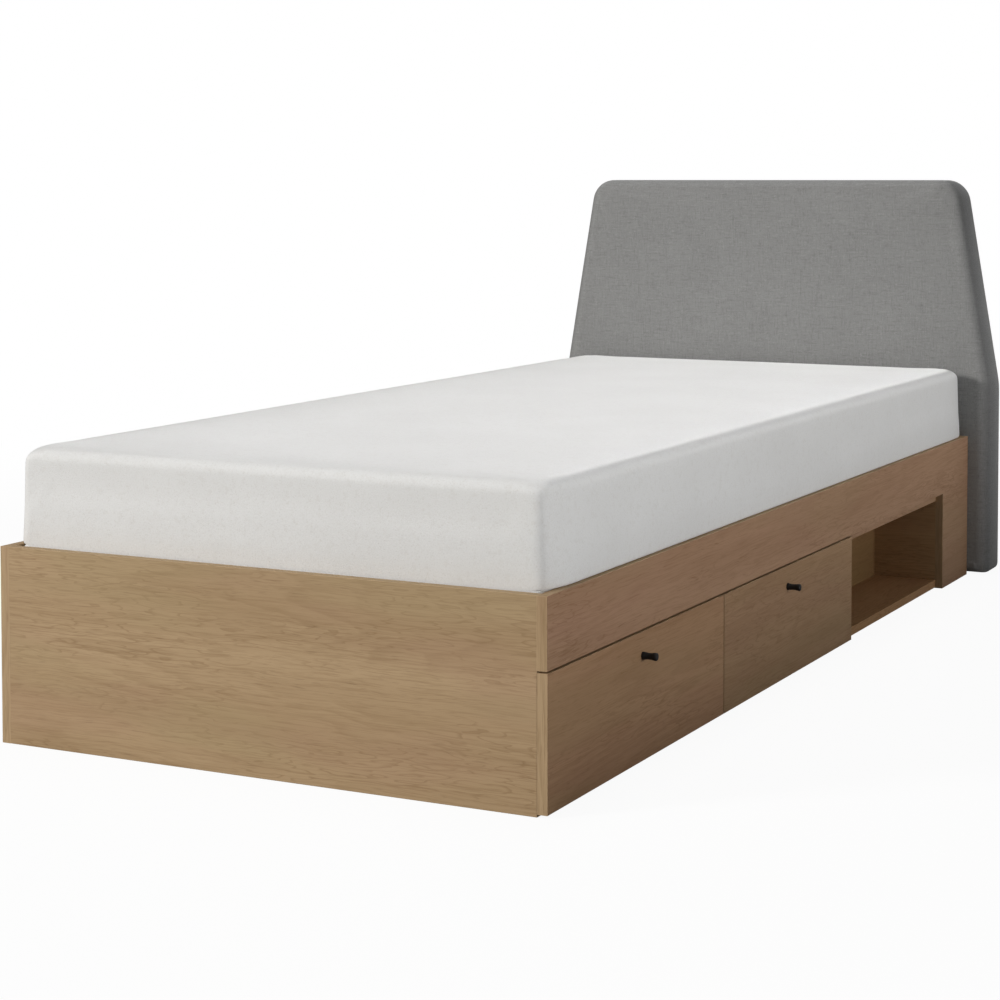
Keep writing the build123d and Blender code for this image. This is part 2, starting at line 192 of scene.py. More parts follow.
def wood(name, low, high, along, seed, look, painted_shade):
    """Grain runs along one axis. The end faces carry edge tape, with the grain along their long side.

    The painted shade darkens the broad faces and all faces that look along X.
    """
    net = Net(name)
    size = [high[i] - low[i] for i in range(3)]
    others = sorted((i for i in range(3) if i != along), key=lambda i: -size[i])
    across, through = others
    where = net.split(net.place.outputs["Object"])
    facing = net.split(net.place.outputs["Normal"])
    main = net.join(where[along], where[across], where[through])
    ends = net.join(where[across], where[through], where[along])
    is_end = net.math("GREATER_THAN", net.math("ABSOLUTE", facing[along]), LOOKS_ALONG)
    point = net.vector("ADD", net.choose(is_end, main, ends), (seed * 3.17, seed * 1.73, seed * 0.91))

    # growth figure: contour lines of a field that is stretched along the grain and bent round a few knots
    sway = net.noise(point, (7, 24, 24), detail=2.0, color=True)
    sway = net.vector("MULTIPLY", net.vector("SUBTRACT", sway, (0.5, 0.5, 0.5)), (0.0, 0.011, 0.011))
    bent = net.vector("ADD", point, sway)
    field = net.noise(point, (0.55, 6.0, 6.0), detail=1.8, rough=0.45, warp=0.2)
    knot, knot_kind = net.cells(point, (2.6, 8.5, 8.5))
    rare = net.math("GREATER_THAN", net.split(knot_kind)[0], 0.66)
    swirl = net.math("MULTIPLY", net.span(knot, 0.30, 0.0), rare)
    field = net.math("MULTIPLY_ADD", swirl, 0.09, field)
    wobble = net.noise(point, (14, 120, 120), detail=2.0)
    turns = net.math("MULTIPLY_ADD", wobble, 0.35, net.math("MULTIPLY", field, RING_LINES))
    ring = net.math("FRACT", turns)
    late = net.math("MULTIPLY", net.span(ring, 0.30, 0.90), net.span(ring, 1.0, 0.90))
    patch = net.noise(point, (3.0, 13, 13), detail=2.0)
    late = net.math("MULTIPLY", late, net.span(patch, 0.36, 0.60))

    # small pointed arches in patches
    arch = net.noise(bent, (7.5, 66, 66), detail=2.0, rough=0.5)
    arch = net.math("MULTIPLY_ADD", swirl, 0.12, arch)
    arch_turns = net.math("MULTIPLY_ADD", wobble, 0.30, net.math("MULTIPLY", arch, ARCH_LINES))
    arches = net.math("FRACT", arch_turns)
    arches = net.math("MULTIPLY", net.span(arches, 0.66, 0.93), net.span(arches, 1.0, 0.93))
    spots = net.noise(point, (2.4, 11, 11), detail=2.0, rough=0.6)
    arches = net.math("MULTIPLY", arches, net.span(spots, 0.46, 0.56))

    # fibres, strokes and pores
    fibre = net.noise(bent, (11, 480, 480), detail=2.5, rough=0.62)
    fine = net.noise(point, (26, 1500, 1500), detail=2.0)
    line = net.noise(bent, (6.0, 300, 300), detail=3.0, rough=0.7)
    band = net.noise(point, (0.8, 15, 15), detail=2.5, rough=0.55)
    stroke = net.noise(bent, (13, 330, 330), detail=3.0, rough=0.6)
    pore = net.span(net.noise(bent, (30, 640, 640), detail=1.0), 0.60, 0.72)
    pore_row = net.span(net.noise(point, (2.2, 46, 46), detail=1.0), 0.42, 0.64)
    pore = net.math("MULTIPLY", pore, net.math("MULTIPLY_ADD", late, 0.35, pore_row), clamp=True)

    tone = net.mix(net.span(band, 0.30, 0.70), look["base"], look["light"])
    for what, low_end, high_end, share, toward in (
        (line, 0.54, 0.63, 0.80, "dark"),
        (line, 0.48, 0.32, 0.60, "light"),
        (fibre, 0.50, 0.66, 1.05, "dark"),
        (fibre, 0.46, 0.24, 0.50, "light"),
        (stroke, 0.58, 0.67, 0.75, "dark"),
        (stroke, 0.42, 0.26, 0.40, "light"),
    ):
        tone = net.layer(tone, what, low_end, high_end, look["fibre"] * share, look[toward])
    tone = net.mix(net.math("MULTIPLY", late, look["ring"] * 0.8), tone, look["dark"])
    tone = net.mix(net.math("MULTIPLY", arches, look["ring"] * 1.6), tone, look["dark"])
    tone = net.mix(net.math("MULTIPLY", pore, look["pore"]), tone, look["fleck"])
    heart = net.math("MULTIPLY", net.span(knot, 0.050, 0.015), rare)
    tone = net.mix(net.math("MULTIPLY", heart, 0.75), tone, look["fleck"])
    tone = net.layer(tone, net.noise(point, (2.2, 11, 11)), 0.48, 0.66, 0.24, look["warm"])
    tone = net.layer(tone, net.noise(point, (1.5, 9, 9)), 0.50, 0.36, 0.32, look["sallow"])

    # distance from the nearest edge of the board, for its slightly lighter arrises: rubbed wear and a
    # painted highlight of the bevels
    gaps = []
    for i in range(3):
        to_low = net.math("SUBTRACT", where[i], low[i])
        to_high = net.math("SUBTRACT", high[i], where[i])
        gaps.append(net.math("ABSOLUTE", net.math("MINIMUM", to_low, to_high)))
    pairs = [net.math("ADD", gaps[a], gaps[b]) for a, b in ((0, 1), (1, 2), (0, 2))]
    rim = net.math("MINIMUM", net.math("MINIMUM", pairs[0], pairs[1]), pairs[2])
    rub = net.noise(net.place.outputs["Object"], (60, 60, 60), detail=3.0)
    wear_and_highlight = net.math("MULTIPLY", net.span(rim, 0.0018, 0.0006), net.span(rub, 0.30, 0.60))
    tone = net.mix(net.math("MULTIPLY", wear_and_highlight, 0.55), tone, look["light"])

    # the fine dark joint line of the edge tape, just inside the edges of the broad faces
    broad = net.math("GREATER_THAN", net.math("ABSOLUTE", facing[through]), LOOKS_ALONG)
    off_line = net.math("ABSOLUTE", net.math("SUBTRACT", rim, TAPE_LINE_IN))
    tape_line = net.math("MULTIPLY", net.span(off_line, *LINE_SPAN), broad)
    tone = net.mix(net.math("MULTIPLY", tape_line, 0.30), tone, look["fleck"])

    # painted shade: the broad faces and the faces that look along X are multiplied by the board's shade
    # colour
    side = net.math("GREATER_THAN", net.math("ABSOLUTE", facing[0]), LOOKS_ALONG)
    tone = net.mix(net.math("MAXIMUM", broad, side), tone, painted_shade, kind="MULTIPLY")

    relief = net.math("SUBTRACT", net.math("MULTIPLY", fine, 0.35), net.math("MULTIPLY", pore, 0.8))
    relief = net.math("MULTIPLY_ADD", fibre, 0.3, relief)
    rough = net.math("MULTIPLY_ADD", fibre, 0.16, look["rough"] - 0.08)
    rough = net.math("MULTIPLY_ADD", pore, 0.12, rough)
    return net.surface(tone, rough, net.bump(relief, 0.00012, 0.55), Specular_IOR_Level=0.16)


def dress(node, material):
    mesh = nodes[node].data
    mesh.materials.clear()
    mesh.materials.append(material)


def wood_node(node, along, look, name="oak", painted_shade=(1.0, 1.0, 1.0)):
    low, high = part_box(node)
    # each board has its own stretch of the figure
    seed = sum(ord(c) * (i + 1) for i, c in enumerate(node)) % 97 / 7.0
    dress(node, wood(f"{name}_{node}", low, high, along, seed, look, painted_shade))


X, Y = 0, 1
OAK_BOARDS = {
    "foot_panel": X,
    "head_panel": X,
    "left_side_panel": Y,
    "right_side_panel": Y,
    "middle_panel": Y,
    "drawer_divider": X,
    "niche_left_divider": X,
    "niche_right_divider": X,
    "cross_panel_1": X,
    "cross_panel_2": X,
    "niche_back": Y,
    "niche_bottom": Y,
    "niche_top": Y,
    "drawer_1_front": Y,
    "drawer_2_front": Y,
}
# painted shade: the boards of the drawer side and the niche are darker and warmer than the lamps make them
PAINTED_SHADE_TINTS = {
    "right_side_panel": (0.83, 0.725, 0.77),
    "drawer_1_front": (0.865, 0.75, 0.73),
    "drawer_2_front": (0.80, 0.725, 0.71),
    "niche_bottom": (1.0, 0.84, 0.73),
    "niche_top": (0.83, 0.725, 0.77),
    "niche_back": (0.58, 0.50, 0.38),
    "niche_left_divider": (0.60, 0.51, 0.42),
    "niche_right_divider": (1.0, 0.92, 0.83),
}
for board, grain in OAK_BOARDS.items():
    wood_node(board, grain, OAK, painted_shade=PAINTED_SHADE_TINTS.get(board, (1.0, 1.0, 1.0)))
for n in (1, 2):
    wood_node(f"drawer_{n}_side_foot", X, DRAWER_OAK, "drawer_oak")
    wood_node(f"drawer_{n}_side_head", X, DRAWER_OAK, "drawer_oak")
    wood_node(f"drawer_{n}_back", Y, DRAWER_OAK, "drawer_oak")
for node, grain in (("ledge_left", Y), ("ledge_right", Y), ("slats", X), ("dowels", Y)):
    wood_node(node, grain, BEECH, "beech")


# ---------------------------------------------------------------- other materials
TAPE_PITCH = 1.6 * MM
THREAD_PITCH = 1.35 * MM


def steel(name, tone, rough):
    """Zinc-plated or oiled sheet steel, with rolling marks and a little dust."""
    net = Net(name)
    place = net.place.outputs["Object"]
    roll = net.noise(place, (900, 40, 900), detail=3.0)
    cloud = net.noise(place, (55, 55, 55), detail=3.0, rough=0.6)
    color = net.mix(net.span(cloud, 0.35, 0.68), tone, tuple(c * 0.82 for c in tone))
    color = net.layer(color, roll, 0.55, 0.75, 0.18, tuple(c * 0.6 for c in tone))
    dust = net.noise(place, (240, 240, 240))
    color = net.layer(color, dust, 0.66, 0.78, 0.12, (0.30, 0.27, 0.22))
    coarse = net.math("MULTIPLY_ADD", cloud, 0.22, rough - 0.1)
    return net.surface(color, coarse, net.bump(roll, 0.00003, 0.5), Metallic=1.0)


def powder_coat(name):
    """Black satin coat with a fine orange peel."""
    net = Net(name)
    place = net.place.outputs["Object"]
    peel = net.noise(place, (700, 700, 700))
    patch = net.noise(place, (90, 90, 90))
    color = net.mix(net.span(patch, 0.35, 0.7), (0.006, 0.0058, 0.0055), (0.011, 0.0105, 0.010))
    rough = net.math("MULTIPLY_ADD", peel, 0.16, 0.42)
    return net.surface(color, rough, net.bump(peel, 0.00006, 0.6), Specular_IOR_Level=0.30)


def hardboard(name):
    """White lacquered hardboard with fine specks."""
    net = Net(name)
    place = net.place.outputs["Object"]
    mottle = net.noise(place, (30, 30, 30), detail=4.0, rough=0.6)
    speck = net.noise(place, (650, 650, 650), detail=1.0)
    color = net.mix(net.span(mottle, 0.3, 0.7), (0.76, 0.75, 0.72), (0.68, 0.67, 0.64))
    color = net.layer(color, speck, 0.68, 0.76, 0.25, (0.45, 0.42, 0.36))
    grain = net.noise(place, (420, 420, 420))
    rough = net.math("MULTIPLY_ADD", mottle, 0.2, 0.35)
    return net.surface(color, rough, net.bump(grain, 0.00005, 0.5))


def lining(name):
    """Black nonwoven cloth with its small pressed dots."""
    net = Net(name)
    place = net.place.outputs["Object"]
    felt = net.noise(place, (500, 500, 500), detail=4.0, rough=0.7)
    hair = net.noise(place, (90, 900, 1400), detail=3.0, rough=0.7)
    dot, _ = net.cells(place, (420, 420, 420))
    color = net.mix(net.span(felt, 0.3, 0.7), (0.014, 0.014, 0.015), (0.045, 0.045, 0.047))
    color = net.layer(color, hair, 0.55, 0.75, 0.3, (0.09, 0.09, 0.09))
    height = net.math("MULTIPLY_ADD", net.span(dot, 0.35, 0.15), -0.8, felt)
    normal = net.bump(height, 0.0002, 0.7)
    return net.surface(color, 0.9, normal, Sheen_Weight=0.15, Sheen_Roughness=0.6)


def tape_cloth(name, light, dark):
    """Plain woven tape that runs along Y."""
    net = Net(name)
    x, y, _ = net.split(net.place.outputs["Object"])
    turn = 2 * math.pi / TAPE_PITCH
    warp = net.math("SINE", net.math("MULTIPLY", x, turn))
    weft = net.math("SINE", net.math("MULTIPLY", y, turn))
    cloth = net.math("MULTIPLY", warp, weft)
    slub = net.noise(net.place.outputs["Object"], (500, 30, 500))
    color = net.mix(net.span(cloth, -0.6, 0.8), dark, light)
    color = net.layer(color, slub, 0.5, 0.7, 0.25, dark)
    normal = net.bump(cloth, 0.0003, 0.7)
    return net.surface(color, 0.85, normal, Sheen_Weight=0.1, Sheen_Roughness=0.5)


def knit(name):
    """Fine stretch knit of a mattress cover: warm-grey specks on off-white."""
    net = Net(name)
    place = net.place.outputs["Object"]
    grain = net.noise(place, (430, 430, 430), detail=3.0, rough=0.65)
    cloud = net.noise(place, (95, 95, 95), detail=3.0, rough=0.6)
    soft = net.noise(place, (6, 6, 6))
    loop, _ = net.cells(place, (620, 620, 620))
    color = net.mix(net.span(soft, 0.3, 0.7), (0.812, 0.808, 0.796), (0.840, 0.837, 0.826))
    color = net.layer(color, cloud, 0.52, 0.70, 0.30, (0.72, 0.70, 0.67))
    color = net.layer(color, grain, 0.54, 0.68, 0.40, (0.66, 0.635, 0.60))
    color = net.layer(color, grain, 0.44, 0.32, 0.35, (0.92, 0.915, 0.90))
    height = net.math("MULTIPLY_ADD", loop, -0.9, net.math("MULTIPLY", grain, 0.8))
    dents = net.bump(net.noise(place, (3.2, 3.2, 3.2)), 0.006, 0.25)
    normal = net.bump(height, 0.0006, 0.55, dents)
    return net.surface(color, 0.92, normal, Sheen_Weight=0.62, Sheen_Roughness=0.40)


def upholstery(name, front):
    """Grey melange weave: threads along X and Z with slubs of uneven tone.

    front is the Y of the piece's front face, from which the painted shade on the side faces fades towards
    the back.
    """
    net = Net(name)
    place = net.place.outputs["Object"]
    x, y, z = net.split(place)
    drift = net.noise(place, (18, 18, 18))
    bend = net.math("MULTIPLY_ADD", drift, 0.006, -0.003)
    along = net.math("ADD", net.math("ADD", x, y), bend)
    up = net.math("ADD", z, bend)
    turn = math.pi / THREAD_PITCH
    warp = net.math("SINE", net.math("MULTIPLY", along, turn))
    weft = net.math("SINE", net.math("MULTIPLY", up, turn))
    weave = net.math("MULTIPLY", warp, weft)
    across_slub = net.noise(place, (42, 42, 440), detail=2.5, rough=0.6)
    upright_slub = net.noise(place, (440, 440, 50), detail=2.5, rough=0.6)
    melange = net.noise(place, (420, 420, 420), detail=3.0, rough=0.7)
    fleck = net.noise(place, (150, 150, 190), rough=0.6)
    cloud = net.noise(place, (9, 9, 9), detail=4.0, rough=0.6)
    color = net.mix(net.span(cloud, 0.3, 0.7), (0.274, 0.274, 0.270), (0.288, 0.288, 0.284))
    for value, low, high, share, tone in (
        (across_slub, 0.54, 0.70, 0.36, (0.160, 0.157, 0.152)),
        (upright_slub, 0.54, 0.70, 0.36, (0.160, 0.157, 0.152)),
        (across_slub, 0.44, 0.28, 0.34, (0.370, 0.367, 0.360)),
        (upright_slub, 0.44, 0.28, 0.34, (0.370, 0.367, 0.360)),
        (melange, 0.54, 0.68, 0.30, (0.410, 0.405, 0.395)),
        (melange, 0.44, 0.30, 0.30, (0.140, 0.138, 0.134)),
        (fleck, 0.58, 0.74, 0.35, (0.400, 0.396, 0.388)),
        (fleck, 0.42, 0.28, 0.30, (0.165, 0.163, 0.158)),
        (weave, 0.0, -0.9, 0.25, (0.120, 0.118, 0.114)),
    ):
        color = net.layer(color, value, low, high, share, tone)
    # painted shade: the side faces are darker, a quarter as much at the back as near the front
    facing = net.math("ABSOLUTE", net.split(net.place.outputs["Normal"])[0])
    nearer = net.span(y, front + 0.075, front + 0.035, smooth=False)
    shade = net.math("MULTIPLY", net.span(facing, 0.25, 0.90), net.math("MULTIPLY_ADD", nearer, 0.75, 0.25))
    color = net.mix(shade, color, (0.60, 0.60, 0.60), kind="MULTIPLY")
    height = net.math("MULTIPLY_ADD", melange, 0.5, weave)
    normal = net.bump(height, 0.00035, 0.6)
    return net.surface(color, 0.88, normal, Sheen_Weight=0.22, Sheen_Roughness=0.5)


zinc = steel("zinc_plate", (0.60, 0.60, 0.61), 0.34)
cage_metal = steel("cage_steel", (0.42, 0.42, 0.43), 0.38)
black = powder_coat("black_coat")
white_board = hardboard("white_hardboard")
black_cloth = lining("black_lining")
tape = tape_cloth("slat_tape", (0.80, 0.79, 0.75), (0.52, 0.50, 0.46))
cover = knit("mattress_knit")
board_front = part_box("headboard_padding")[0].y
weave = upholstery("headboard_weave", board_front)

FITTINGS = ("cams", "cam_bolts", "headboard_bolts", "headboard_nuts")
for node in nodes:
    if "slide_" in node or node in FITTINGS or node.endswith("knob_screw"):
        dress(node, zinc)
    elif node.endswith("cages"):
        dress(node, cage_metal)
    elif node.endswith("_knob"):
        dress(node, black)
    elif node.startswith("drawer") and node.endswith("bottom"):
        dress(node, white_board)
dress("headboard_core", black_cloth)
dress("slat_straps", tape)


# ---------------------------------------------------------------- mesh helpers
CELL = 0.016
PUFF_FRAMES = 20


def mesh_object(name, shape, material, smooth=True):
    data = bpy.data.meshes.new(name)
    shape.to_mesh(data)
    shape.free()
    data.materials.append(material)
    for face in data.polygons:
        face.use_smooth = smooth
    piece = bpy.data.objects.new(name, data)
    bpy.context.scene.collection.objects.link(piece)
    return piece


def rounded(s, t, share):
    """Where a point of a unit square moves to when the square's far corner is rounded.

    The share is the rounding's radius as a share of the square.
    """
    reach = max(s, t)
    if reach == 0:
        return 0.0, 0.0
    run = min(s, t) / reach * (1 - share + share * math.pi / 4)
    if run <= 1 - share:
        far, near = 1.0, run
    else:
        angle = (run - 1 + share) / share
        far, near = 1 - share + share * math.cos(angle), 1 - share + share * math.sin(angle)
    far, near = far * reach, near * reach
    return (far, near) if s >= t else (near, far)


def cushion(name, material, half, low, high, r_low, r_high, rows, to_space, turn, ends, corner=5):
    """A closed padded body of even quads, so that cloth and subdivision run evenly over it.

    half(level) is half its width at a level between low and high. Its four corners lie in
    squares of r_low and r_high with corner cells along each side, and turn(end, depth) is the
    radius of their rounding. rows goes round its edge from one face to the other, and says how
    far each ring lies outside the outline and how deep. ends(end, offset, depth) gives that
    distance for the low and the high end. to_space turns width, level and depth into a point.
    """
    steps = round((high - low - r_low - r_high) / CELL)
    ups = [(-1, k / corner) for k in range(corner, 0, -1)]
    ups += [(0, k / steps) for k in range(steps + 1)]
    ups += [(1, k / corner) for k in range(1, corner + 1)]
    width = max(half(low), half(high))
    steps = round((2 * width - r_low - r_high) / CELL)
    overs = [(-1, k / corner) for k in range(corner, 0, -1)]
    overs += [(0, k / steps) for k in range(steps + 1)]
    overs += [(1, k / corner) for k in range(1, corner + 1)]

    def place(over, up, offset, depth):
        side, s = over
        end, t = up
        if side and end:
            reach = (r_low if end < 0 else r_high) + offset
            s, t = rounded(s, t, min(1.0, turn(end, depth) / reach))
        if end < 0:
            radius = r_low
            level = low + r_low - (r_low + ends(end, offset, depth)) * t
        elif end > 0:
            radius = r_high
            level = high - r_high + (r_high + ends(end, offset, depth)) * t
        else:
            radius = r_low + (r_high - r_low) * t
            level = low + r_low + (high - r_high - low - r_low) * t
        straight = half(level) - radius
        if side:
            x = side * (straight + (radius + offset) * s)
        else:
            x = straight * (2 * s - 1)
        return to_space(x, level, depth)

    shape = bmesh.new()
    across, along = len(overs), len(ups)
    rim = [(i, 0) for i in range(across)]
    rim += [(across - 1, j) for j in range(1, along)]
    rim += [(i, along - 1) for i in range(across - 2, -1, -1)]
    rim += [(0, j) for j in range(along - 2, 0, -1)]
    faces = []
    for offset, depth in (rows[0], rows[-1]):
        faces.append([[shape.verts.new(place(o, u, offset, depth)) for u in ups] for o in overs])
    for grid in faces:
        for i in range(across - 1):
            for j in range(along - 1):
                shape.faces.new((grid[i][j], grid[i + 1][j], grid[i + 1][j + 1], grid[i][j + 1]))
    rings = [[faces[0][i][j] for i, j in rim]]
    for offset, depth in rows[1:-1]:
        rings.append([shape.verts.new(place(overs[i], ups[j], offset, depth)) for i, j in rim])
    rings.append([faces[1][i][j] for i, j in rim])
    for first, second in zip(rings, rings[1:]):
        for k in range(len(rim)):
            m = (k + 1) % len(rim)
            shape.faces.new((first[k], first[m], second[m], second[k]))
    bmesh.ops.recalc_face_normals(shape, faces=shape.faces)
    return mesh_object(name, shape, material)


def arc(start, end, centre, parts):
    """Points on a quarter arc from start to end round centre, ends left out."""
    middle = Vector(centre)
    a, b = Vector(start) - middle, Vector(end) - middle
    turns = [math.pi / 2 * k / parts for k in range(1, parts)]
    return [tuple(middle + a * math.cos(t) + b * math.sin(t)) for t in turns]


def puff(piece, pressure, cap, held):
    """Cloth under inside pressure, applied to the mesh.

    held(point) is 1 where the cover is kept in place, and no point moves further than cap.
    """
    points = piece.data.vertices
    start = [v.co.copy() for v in points]
    group = piece.vertex_groups.new(name="held")
    for v in points:
        group.add([v.index], held(v.co), "REPLACE")
    cloth = piece.modifiers.new("puff", "CLOTH")
    cloth.settings.quality = 4
    cloth.settings.mass = 0.4
    cloth.settings.tension_stiffness = 20
    cloth.settings.compression_stiffness = 20
    cloth.settings.bending_stiffness = 1.0
    cloth.settings.use_pressure = True
    cloth.settings.uniform_pressure_force = pressure
    cloth.settings.effector_weights.gravity = 0
    cloth.settings.vertex_group_mass = "held"
    cloth.collision_settings.use_collision = False
    cloth.point_cache.frame_start = 1
    cloth.point_cache.frame_end = PUFF_FRAMES
    scene = bpy.context.scene
    for number in range(1, PUFF_FRAMES + 1):
        scene.frame_set(number)
    graph = bpy.context.evaluated_depsgraph_get()
    moved = piece.evaluated_get(graph)
    ends = [v.co.copy() for v in moved.data.vertices]
    piece.modifiers.clear()
    piece.vertex_groups.clear()
    scene.frame_set(1)
    for v, a, b in zip(points, start, ends):
        step = b - a
        if step.length > cap:
            step *= cap / step.length
        v.co = a + step


def subdivide(piece):
    change = piece.modifiers.new("subdivision", "SUBSURF")
    change.levels = change.render_levels = 1
    for face in piece.data.polygons:
        face.use_smooth = True


# ---------------------------------------------------------------- mattress
mattress_low, mattress_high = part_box("mattress")
board_low, board_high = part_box("foot_panel")
frame_top = board_high.z
middle_y = (mattress_low.y + mattress_high.y) / 2
# as a vector's single-precision numbers, because the cloth's result depends on their last digit
half_width, half_length = Vector((0.450, 1.000))
end_room, corner_square = 7.5 * MM, 0.045
base, top = mattress_low.z, mattress_high.z - 2.5 * MM
base_round, top_round = 0.012, 0.021
# above the boards the sides swell out over them, most just above and less towards the top
swell, swell_top = 12.0 * MM, 8.5 * MM
full = frame_top + 0.012
side = [(-base_round, base)]
side += arc((-base_round, base), (0, base + base_round), (-base_round, base + base_round), 3)
side += [(0, base + rise) for rise in (base_round, 0.018, 0.026, 0.034)]
side += [
    (0, frame_top - 0.006),
    (0, frame_top - 0.0016),
    (swell * 0.3, frame_top + 0.0002),
    (swell * 0.74, frame_top + 0.0005),
    (swell * 0.93, frame_top + 0.0019),
    (swell * 0.99, frame_top + 0.0052),
    (swell, full),
]
for k in range(1, 9):
    side.append((swell - (swell - swell_top) * k / 8, full + (top - top_round - full) * k / 8))
top_start, top_end = (swell_top, top - top_round), (swell_top - top_round, top)
side += arc(top_start, top_end, (swell_top - top_round, top - top_round), 5)
side.append(top_end)


def mattress_end(end, offset, depth):
    """There is room between the end boards and the mattress, so its ends swell lower down."""
    if depth >= frame_top + 0.01:
        return min(offset, end_room)
    t = max(0.0, min(1.0, (depth - base - 0.020) / 0.014))
    return max(min(offset, end_room), end_room * t * t * (3 - 2 * t))


def mattress_corner(end, depth):
    """The upright edges are tight, and open out into a wider round at the top."""
    t = max(0.0, min(1.0, (depth - top + 0.022) / 0.022))
    return 0.013 + 0.020 * t * t


mattress = cushion(
    "mattress_cover",
    cover,
    half=lambda y: half_width,
    low=middle_y - half_length,
    high=middle_y + half_length,
    r_low=corner_square,
    r_high=corner_square,
    rows=side,
    to_space=lambda x, y, z: (x, y, z),
    turn=mattress_corner,
    ends=mattress_end,
    corner=8,
)


def mattress_held(p):
    """The cover is kept in place up to just above the boards, and is free from 40 mm above them."""
    if p.z < frame_top + 0.010:
        return 1.0
    return max(0.0, 1.0 - (p.z - frame_top - 0.010) / 0.03) * 0.6


# the free part draws in towards its corners, most at the foot end
foot_draw, head_draw, draw_length, drawn_half = 13.0 * MM, 3.5 * MM, 0.07, 0.46
for v in mattress.data.vertices:
    p = v.co
    if p.z > frame_top - 0.001:
        to_foot = p.y - middle_y + half_length + end_room
        to_head = middle_y + half_length + end_room - p.y
        for draw, gap in ((foot_draw, to_foot), (head_draw, to_head)):
            p.x *= 1 - draw * max(0.0, 1 - gap / draw_length) ** 1.6 / drawn_half
puff(mattress, pressure=1.0, cap=1.6 * MM, held=mattress_held)
# crown and slight unevenness; the part between the boards stays inside the room they leave
room_x, room_y = 0.4512, 1.0082
for v in mattress.data.vertices:
    p = v.co
    u, w = p.x / half_width, (p.y - middle_y) / half_length
    if p.z > top - 0.03:
        lift = 3.2 * MM * max(0.0, 1 - u * u) * max(0.0, 1 - w**4)
        lift += 1.2 * MM * noise.noise(Vector((p.x * 3.1, p.y * 2.3, 0.7))) * max(0.0, 1 - u**4)
        p.z += lift * min(1.0, (p.z - top + 0.03) / 0.03)
    elif p.z > frame_top + 0.02:
        wave = noise.noise(Vector((p.x * 5.0, p.y * 5.0, p.z * 9.0))) * 0.7 * MM
        out = Vector((p.x if abs(u) > 0.985 else 0.0, p.y - middle_y if abs(w) > 0.993 else 0.0, 0.0))
        if out.length > 0:
            p += out.normalized() * wave
    if p.z < frame_top + 0.0004:
        p.x = max(-room_x, min(room_x, p.x))
        p.y = max(middle_y - room_y, min(middle_y + room_y, p.y))
    p.z = max(p.z, base)
subdivide(mattress)
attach(mattress, "bed")
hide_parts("mattress")


# ---------------------------------------------------------------- headboard
pad_low, pad_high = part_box("headboard_padding")
core_low, core_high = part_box("headboard_core")
half_foot, half_top = 0.514, 0.4385
foot_z, kink_z, head_z = pad_low.z, 0.414, pad_high.z - 0.0014
foot_radius, top_radius, kink_radius, foot_square = 0.012, 0.043, 0.090, 0.030
board_back = core_high.y
lean = (half_foot - half_top) / (head_z - kink_z)
bend = kink_radius * math.tan(math.atan(lean) / 2)


def headboard_half(z):
    """Half the width at a height: upright, then leaning in, with a soft bend between."""
    if z <= kink_z - bend:
        return half_foot
    if z < kink_z + bend:
        t = (z - kink_z + bend) / (2 * bend)
        return half_foot - lean * bend * t * t
    return half_foot - lean * (z - kink_z)


# The cover goes over the front, round the sides and in over the board's back as a flap, then back
# under the flap, forwards past the board's edge and in again between the board and the padding.
front_edge, back_edge, flap = 0.025, 0.007, 0.0011
inside, play = 0.0043, 0.00015
flap_face, flap_under = board_back + flap, board_back + play
front_centre = (-front_edge, board_front + front_edge)
back_centre = (-back_edge, flap_face - back_edge)
wrap = [(-front_edge, board_front)]
wrap += arc((-front_edge, board_front), (0, board_front + front_edge), front_centre, 6)
wrap += [(0, board_front + depth) for depth in (front_edge, 0.036, 0.050, 0.064, 0.076)]
wrap.append((0, flap_face - back_edge))
wrap += arc((0, flap_face - back_edge), (-back_edge, flap_face), back_centre, 4)
wrap += [(-back_edge, flap_face), (-0.014, flap_face), (-0.0255, flap_face)]
wrap += [(-0.0260, board_back + flap * 0.5)]
wrap += [(-0.0255, flap_under), (-0.014, flap_under), (-inside, flap_under)]
wrap += [(-inside + 0.0002, board_back - 0.001), (-inside + 0.0002, core_low.y + 0.001)]
wrap += [(-distance, core_low.y - play) for distance in (inside, 0.010, 0.022)]


def headboard_end(end, offset, depth):
    """The front face comes nearer to the foot and top edges than to the sides."""
    if depth >= board_front + 0.03:
        return offset
    return offset * (0.40 if end < 0 else 0.50)


headboard = cushion(
    "headboard_cover",
    weave,
    half=headboard_half,
    low=foot_z,
    high=head_z,
    r_low=foot_square,
    r_high=top_radius,
    rows=wrap,
    to_space=lambda x, z, y: (x, y, z),
    turn=lambda end, depth: foot_radius if end < 0 else top_radius,
    ends=headboard_end,
)


def headboard_held(p):
    """Only the front face is free."""
    return 1.0 if p.y > board_front + 0.012 else max(0.0, (p.y - board_front - 0.002) / 0.010)


puff(headboard, pressure=0.8, cap=2.0 * MM, held=headboard_held)
# slight unevenness above the frame; lower down the front face stays clear of the frame
for v in headboard.data.vertices:
    p = v.co
    if p.y < board_front + 0.02 and p.z > frame_top + 0.02:
        p.y += noise.noise(Vector((p.x * 4.0, p.z * 4.0, 3.1))) * 0.8 * MM
    if p.z <= frame_top + 0.02:
        p.y = max(p.y, board_front)
subdivide(headboard)
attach(headboard, "bed")
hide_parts("headboard_padding")


# ---------------------------------------------------------------- staples of the cloth's flap
WIRE_RADIUS, HALF_CROWN, LEG, WIRE_BEND = 0.35 * MM, 5.5 * MM, 2.2 * MM, 0.4 * MM


